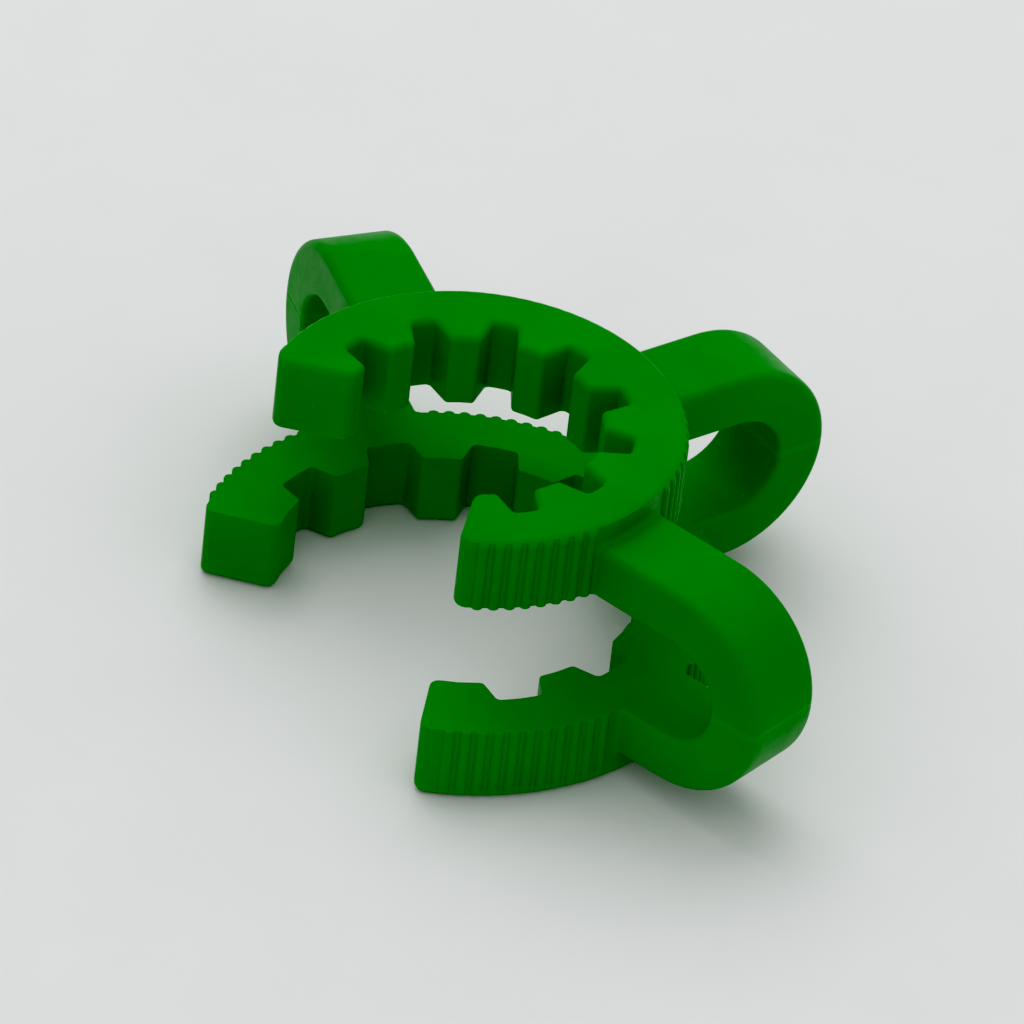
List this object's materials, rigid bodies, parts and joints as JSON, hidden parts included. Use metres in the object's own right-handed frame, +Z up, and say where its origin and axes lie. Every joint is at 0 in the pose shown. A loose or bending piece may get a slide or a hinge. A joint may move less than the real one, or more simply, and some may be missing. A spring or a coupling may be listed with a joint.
{
  "type": "ground glass joint clip",
  "caption": "Springy one-piece plastic clip: toothed open rings of unequal size, one above the other, joined by bow springs, that hold a conical ground-glass joint together.",
  "frame": {"origin": "on the rings' common axis, in the plane of the lower ring's bottom face", "axes": "+Z up along the rings' axis from the larger ring to the smaller, -Y out through the mouths, +X to the right seen from the mouths"},
  "size_m": [0.0644, 0.045, 0.0211],
  "materials": {
    "green_acetal": "satin"
  },
  "bodies": {
    "lower_back": {"lower_ring_back": "green_acetal", "back_bow_lower_leg": "green_acetal"},
    "upper_back": {"upper_ring_back": "green_acetal", "back_bow_upper_leg": "green_acetal"},
    "lower_right": {"lower_right_jaw": "green_acetal", "right_bow_lower_leg": "green_acetal"},
    "lower_left": {"lower_left_jaw": "green_acetal", "left_bow_lower_leg": "green_acetal"},
    "upper_right": {"upper_right_jaw": "green_acetal"},
    "upper_left": {"upper_left_jaw": "green_acetal"},
    "right_bow_top": {"right_bow_upper_leg": "green_acetal"},
    "left_bow_top": {"left_bow_upper_leg": "green_acetal"}
  },
  "joints": [
    {"name": "axial_stretch", "type": "slide", "parent": "lower_back", "child": "upper_back", "axis": [0, 0, 1], "range_m": [0, 0.002], "stiffness_N_per_m": 3000},
    {"name": "right_spread", "type": "hinge", "parent": "lower_back", "child": "lower_right", "pos_m": [0.00868, 0.01386, 0.00317], "axis": [0, 0, 1], "range_deg": [-1.5, 8], "stiffness_Nm_per_rad": 1.5},
    {"name": "left_spread", "type": "hinge", "parent": "lower_back", "child": "lower_left", "pos_m": [-0.00868, 0.01386, 0.00317], "axis": [0, 0, -1], "range_deg": [-1.5, 8], "stiffness_Nm_per_rad": 1.5},
    {"name": "upper_right_spread", "type": "hinge", "parent": "upper_back", "child": "upper_right", "pos_m": [0.00868, 0.01386, 0.01792], "axis": [0, 0, 1], "range_deg": [-1.5, 8]},
    {"name": "upper_left_spread", "type": "hinge", "parent": "upper_back", "child": "upper_left", "pos_m": [-0.00868, 0.01386, 0.01792], "axis": [0, 0, -1], "range_deg": [-1.5, 8]},
    {"name": "right_bow_stretch", "type": "slide", "parent": "lower_right", "child": "right_bow_top", "axis": [0, 0, 1], "range_m": [0, 0.002]},
    {"name": "left_bow_stretch", "type": "slide", "parent": "lower_left", "child": "left_bow_top", "axis": [0, 0, 1], "range_m": [0, 0.002]}
  ],
  "couplings": [
    {"joint": "upper_right_spread", "follows": "right_spread", "ratio": 1},
    {"joint": "upper_left_spread", "follows": "left_spread", "ratio": 1},
    {"joint": "right_bow_stretch", "follows": "axial_stretch", "ratio": 1},
    {"joint": "left_bow_stretch", "follows": "axial_stretch", "ratio": 1}
  ]
}
